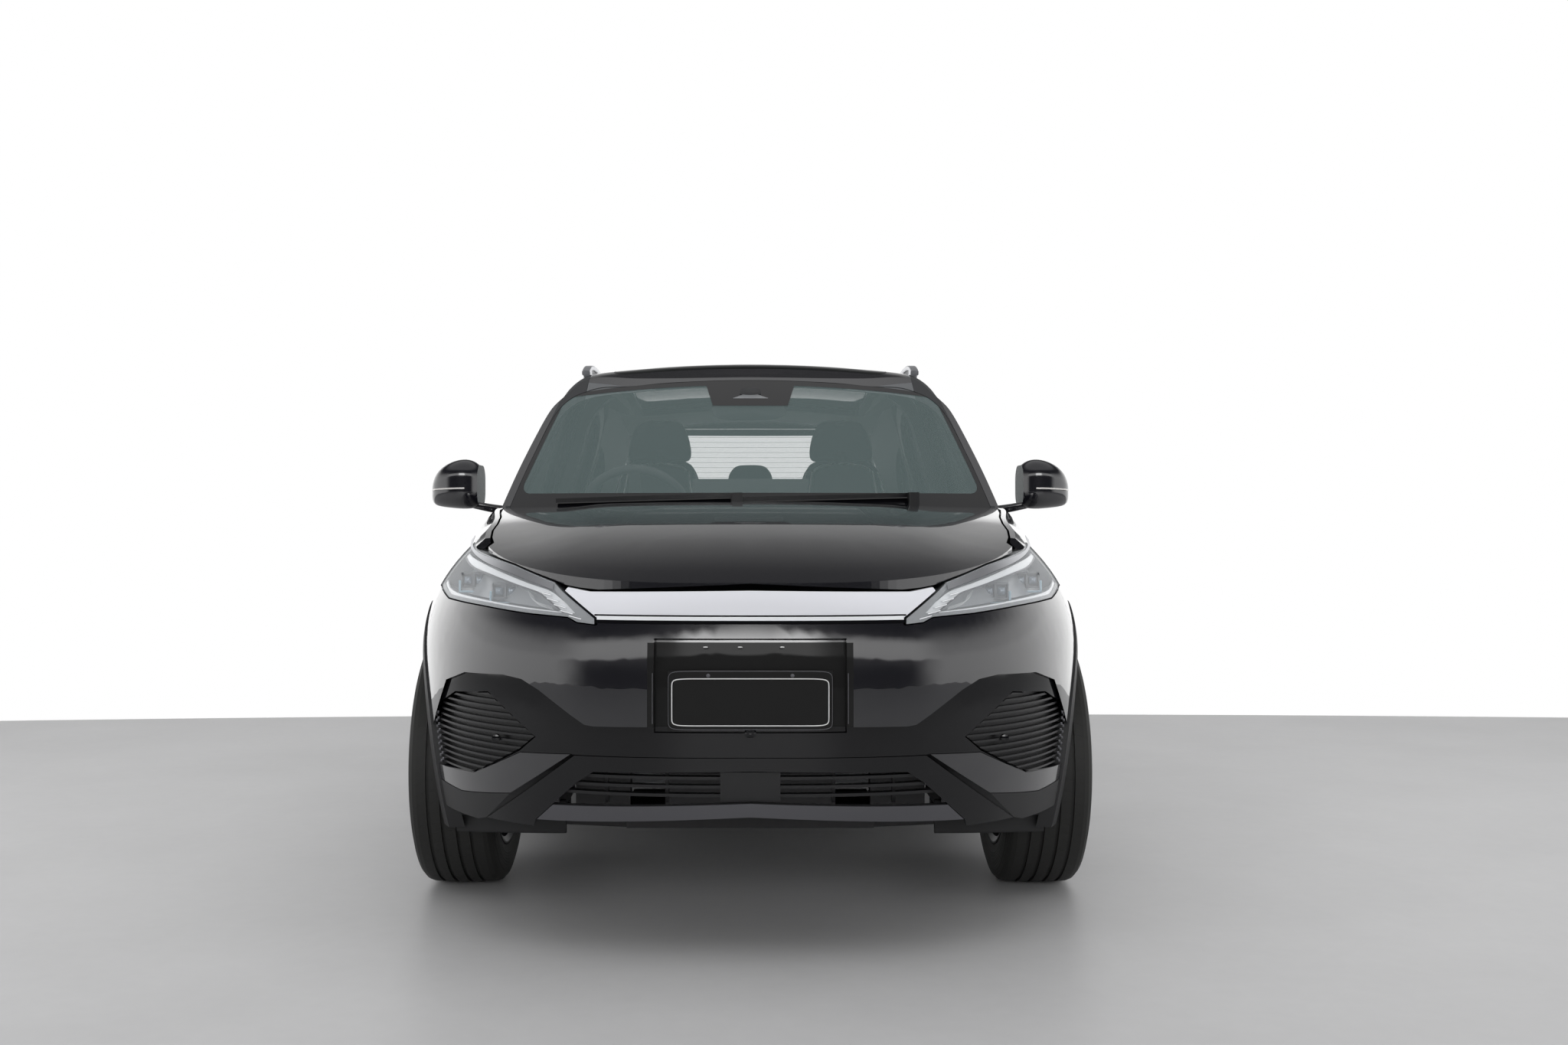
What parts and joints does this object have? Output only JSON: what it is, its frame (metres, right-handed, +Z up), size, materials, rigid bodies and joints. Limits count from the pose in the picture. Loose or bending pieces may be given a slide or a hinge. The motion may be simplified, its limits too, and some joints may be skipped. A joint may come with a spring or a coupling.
{
  "type": "electric crossover",
  "caption": "Full-size electric family crossover with opening doors, bonnet and tailgate, steered front wheels and a hollow cabin.",
  "frame": {"origin": "on the ground under the middle of the car's length and width", "axes": "+Z up, -Y towards the nose, +X to the car's left-hand side"},
  "size_m": [2.048, 4.452, 1.6124],
  "materials": {
    "body_paint": "deep gloss black over a clear coat",
    "gloss_black": "gloss black",
    "dark_plastic": "fine grain, matt",
    "satin_silver": "satin",
    "clear_glass": "clear",
    "dark_glass": "dark tinted",
    "lamp_clear": "clear lens",
    "lamp_inner": "smoked inner bezel",
    "lamp_red": "red lens",
    "structure": "dark primer",
    "battery_case": "cast and coated",
    "suspension": "coated",
    "tyre": "black rubber",
    "wheel": "machined faces, dark pockets",
    "cabin_trim": "soft grained",
    "seat_cover": "perforated, light stitching",
    "plate": "blank"
  },
  "bodies": {
    "body": {"fenders": "body_paint", "front_bumper": "body_paint", "body_sides": "body_paint", "roof_panel": "body_paint", "rear_bumper": "body_paint", "headlamp_lenses": "lamp_clear", "headlamp_bodies": "lamp_inner", "front_trim": "gloss_black", "side_grilles": "dark_plastic", "lower_grille": "dark_plastic", "skid_strip": "satin_silver", "nose_bar": "satin_silver", "arch_trims": "dark_plastic", "front_lips": "dark_plastic", "quarter_glass": "dark_glass", "posts_and_sills": "structure", "underbody": "structure", "roof_glass": "dark_glass", "windscreen": "clear_glass", "tail_lamps": "lamp_red", "battery_pack": "battery_case", "front_suspension": "suspension", "rear_suspension": "suspension", "dashboard": "cabin_trim", "front_seats": "seat_cover", "rear_seats": "seat_cover", "cowl_and_wipers": "dark_plastic", "roof_rails": "satin_silver", "number_plate_front": "plate"},
    "bonnet": {"bonnet": "body_paint"},
    "tailgate": {"tailgate": "body_paint", "tailgate_glass": "clear_glass", "tailgate_lamp": "lamp_red", "number_plate_rear": "plate"},
    "steering_wheel": {"steering_wheel": "cabin_trim"},
    "front_door_left": {"front_door_left": "body_paint", "front_door_glass_left": "clear_glass", "mirror_left": "gloss_black"},
    "rear_door_left": {"rear_door_left": "body_paint", "rear_door_glass_left": "clear_glass"},
    "knuckle_left": {"knuckle_left": "suspension"},
    "wheel_front_left": {"tyre_front_left": "tyre", "wheel_front_left": "wheel"},
    "wheel_rear_left": {"tyre_rear_left": "tyre", "wheel_rear_left": "wheel"},
    "front_door_right": {"front_door_right": "body_paint", "front_door_glass_right": "clear_glass", "mirror_right": "gloss_black"},
    "rear_door_right": {"rear_door_right": "body_paint", "rear_door_glass_right": "clear_glass"},
    "knuckle_right": {"knuckle_right": "suspension"},
    "wheel_front_right": {"tyre_front_right": "tyre", "wheel_front_right": "wheel"},
    "wheel_rear_right": {"tyre_rear_right": "tyre", "wheel_rear_right": "wheel"}
  },
  "joints": [
    {"name": "bonnet_hinge", "type": "hinge", "parent": "body", "child": "bonnet", "pos_m": [0, -0.838, 1.062], "axis": [-1, 0, 0], "range_deg": [0, 50]},
    {"name": "tailgate_hinge", "type": "hinge", "parent": "body", "child": "tailgate", "pos_m": [0, 1.89, 1.535], "axis": [1, 0, 0], "range_deg": [0, 75]},
    {"name": "front_door_left_hinge", "type": "hinge", "parent": "body", "child": "front_door_left", "pos_m": [0.927, -0.838, 0.6], "axis": [0, 0, -1], "range_deg": [0, 65]},
    {"name": "rear_door_left_hinge", "type": "hinge", "parent": "body", "child": "rear_door_left", "pos_m": [0.927, 0.225, 0.6], "axis": [0, 0, -1], "range_deg": [0, 68]},
    {"name": "front_door_right_hinge", "type": "hinge", "parent": "body", "child": "front_door_right", "pos_m": [-0.927, -0.838, 0.6], "axis": [0, 0, 1], "range_deg": [0, 65]},
    {"name": "rear_door_right_hinge", "type": "hinge", "parent": "body", "child": "rear_door_right", "pos_m": [-0.927, 0.225, 0.6], "axis": [0, 0, 1], "range_deg": [0, 68]},
    {"name": "steer_left", "type": "hinge", "parent": "body", "child": "knuckle_left", "pos_m": [0.7875, -1.3525, 0.347], "axis": [0, 0, 1], "range_deg": [-32, 32]},
    {"name": "steer_right", "type": "hinge", "parent": "body", "child": "knuckle_right", "pos_m": [-0.7875, -1.3525, 0.347], "axis": [0, 0, 1], "range_deg": [-32, 32]},
    {"name": "wheel_front_left_spin", "type": "hinge", "parent": "knuckle_left", "child": "wheel_front_left", "pos_m": [0.7875, -1.3525, 0.347], "axis": [1, 0, 0], "continuous": true},
    {"name": "wheel_rear_left_spin", "type": "hinge", "parent": "body", "child": "wheel_rear_left", "pos_m": [0.7875, 1.3675, 0.347], "axis": [1, 0, 0], "continuous": true},
    {"name": "wheel_front_right_spin", "type": "hinge", "parent": "knuckle_right", "child": "wheel_front_right", "pos_m": [-0.7875, -1.3525, 0.347], "axis": [1, 0, 0], "continuous": true},
    {"name": "wheel_rear_right_spin", "type": "hinge", "parent": "body", "child": "wheel_rear_right", "pos_m": [-0.7875, 1.3675, 0.347], "axis": [1, 0, 0], "continuous": true},
    {"name": "steering_wheel_turn", "type": "hinge", "parent": "body", "child": "steering_wheel", "pos_m": [-0.384, -0.56, 1.018], "axis": [0, 0.9135, 0.4067], "range_deg": [-480, 480]}
  ],
  "couplings": [
    {"joint": "steer_right", "follows": "steer_left", "ratio": 1},
    {"joint": "steering_wheel_turn", "follows": "steer_left", "ratio": 14.5}
  ]
}
